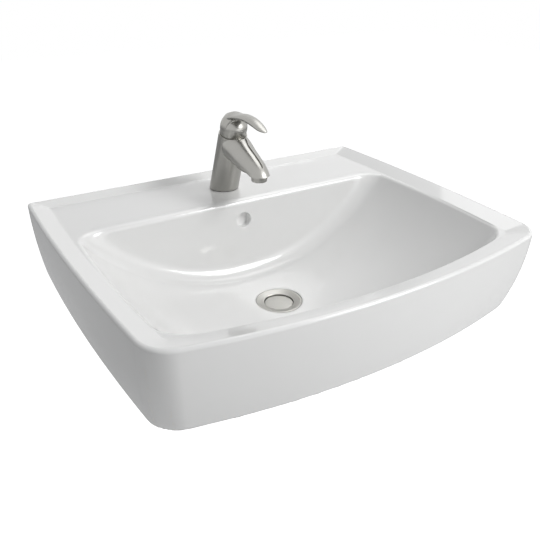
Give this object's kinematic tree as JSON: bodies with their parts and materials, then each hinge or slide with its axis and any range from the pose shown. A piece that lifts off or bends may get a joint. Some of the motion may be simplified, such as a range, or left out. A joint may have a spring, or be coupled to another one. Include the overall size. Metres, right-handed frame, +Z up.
{
  "type": "wall-hung basin",
  "caption": "White glazed wall-hung basin with a flat tap deck, trough bowl, overflow, satin single-lever tap and click waste.",
  "frame": {"origin": "middle of the two wall fixings, on the wall's surface, 75 mm below the rim", "axes": "+Z up, front faces -Y, +X to the right of a person at the basin's own back"},
  "size_m": [0.6066, 0.5667, 0.3642],
  "materials": {
    "ceramic": "gloss",
    "satin_nickel": "satin",
    "chrome": "polished",
    "brass": "machined",
    "steel": "zinc plated",
    "rubber": "matt",
    "white_plastic": "matt",
    "grey_plastic": "matt",
    "disc_ceramic": "lapped"
  },
  "bodies": {
    "fixed_parts": {"basin": "ceramic", "hanger_bolts": "steel", "fixing_bushes": "white_plastic", "fixing_washers": "steel", "fixing_nuts": "steel", "tap_body": "satin_nickel", "base_gasket": "rubber", "mounting_stud": "brass", "horseshoe_gasket": "rubber", "horseshoe_plate": "steel", "mounting_nut": "brass", "cartridge_housing": "white_plastic", "cartridge_base": "white_plastic", "port_seals": "rubber", "fixed_disc": "disc_ceramic", "cartridge_nut": "brass", "aerator_housing": "satin_nickel", "aerator_insert": "grey_plastic", "aerator_washer": "rubber", "waste_body": "satin_nickel", "waste_upper_seal": "rubber", "waste_lower_seal": "rubber", "slip_washer": "grey_plastic", "back_nut": "brass", "waste_tail": "chrome", "click_barrel": "grey_plastic", "click_spring": "steel"},
    "swivel": {"spindle_guide": "grey_plastic", "pivot_pin": "steel"},
    "lever": {"lever_handle": "satin_nickel", "spindle": "steel", "handle_grub_screw": "steel", "indicator_plug": "grey_plastic"},
    "carrier": {"disc_carrier": "grey_plastic", "moving_disc": "disc_ceramic"},
    "plug": {"plug_disc": "satin_nickel", "plug_seal": "rubber", "click_plunger": "brass"}
  },
  "joints": [
    {"name": "lever_swivel", "type": "hinge", "parent": "fixed_parts", "child": "swivel", "pos_m": [0, -0.1034, 0.1642], "axis": [0, -0.2351, 0.972], "range_deg": [-45, 45]},
    {"name": "lever_tilt", "type": "hinge", "parent": "swivel", "child": "lever", "pos_m": [0, -0.10387, 0.16614], "axis": [-1, 0, 0], "range_deg": [0, 22]},
    {"name": "carrier_slide", "type": "slide", "parent": "swivel", "child": "carrier", "axis": [0, -0.972, -0.2351], "range_m": [0, 0.0045]},
    {"name": "plug_slide", "type": "slide", "parent": "fixed_parts", "child": "plug", "axis": [0, 0, 1], "range_m": [0, 0.008], "deforming": ["click_spring"]}
  ],
  "couplings": [
    {"joint": "carrier_slide", "follows": "lever_tilt", "m_per_rad": 0.011}
  ]
}
